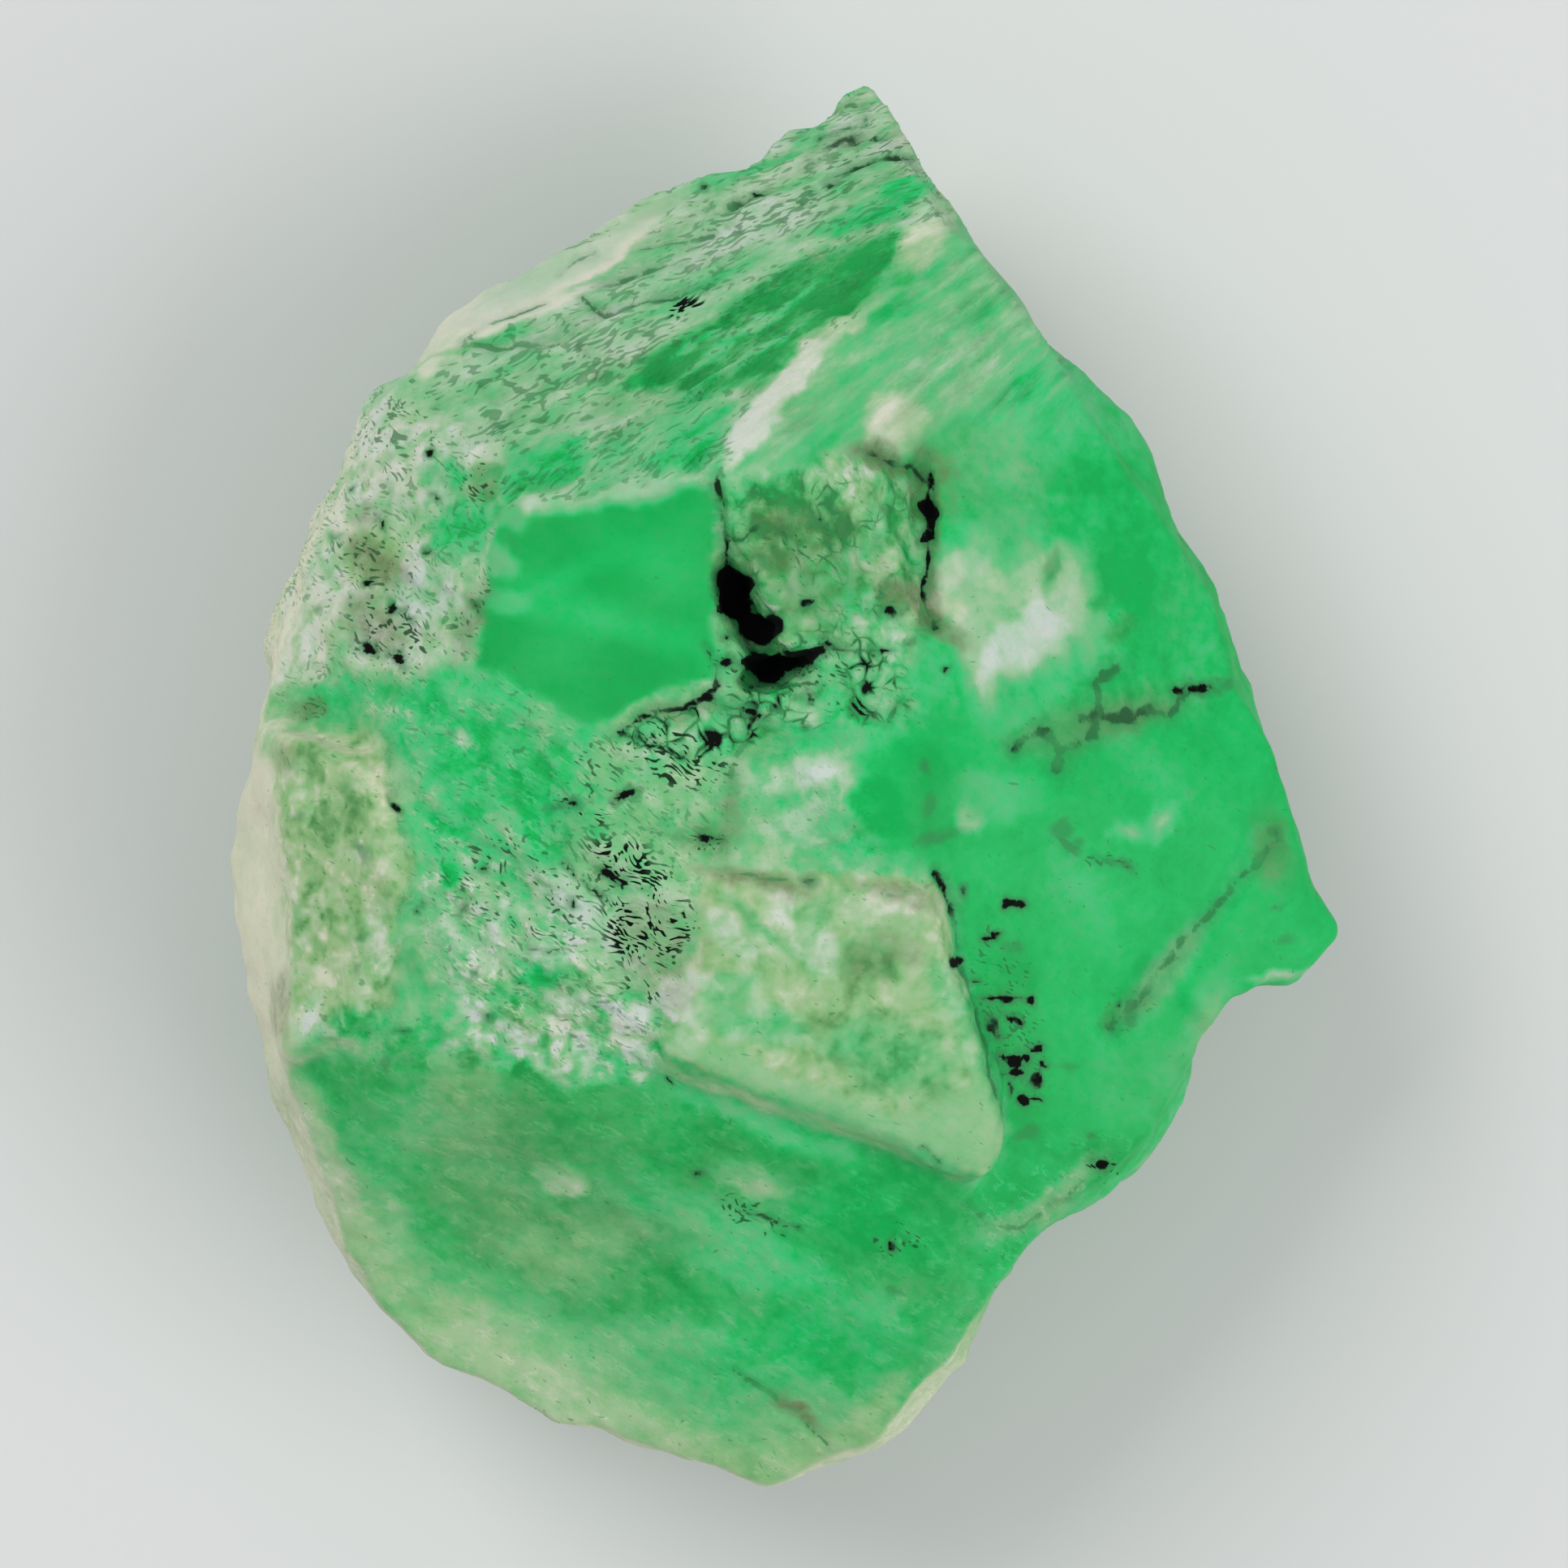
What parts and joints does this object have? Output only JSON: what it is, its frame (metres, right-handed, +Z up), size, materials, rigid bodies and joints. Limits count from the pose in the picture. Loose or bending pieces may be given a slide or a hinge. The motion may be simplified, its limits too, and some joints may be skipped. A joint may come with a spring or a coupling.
{
  "type": "raw emerald",
  "caption": "Loose rough emerald: a milky green broken crystal with a fibrous face, smooth faces, pits and cracks, lying on its flattest side.",
  "frame": {"origin": "centre of the stone's footprint box, on the surface that it rests on", "axes": "+Z up from the rest face, +Y along the length towards the pointed end, +X to the right seen from above with the point away"},
  "size_m": [0.0398, 0.0502, 0.0218],
  "materials": {
    "emerald": "milky green beryl, frosted and pitted on the rough faces, waxy smooth on the clean ones"
  },
  "bodies": {
    "root": {"emerald": "emerald"}
  },
  "joints": []
}
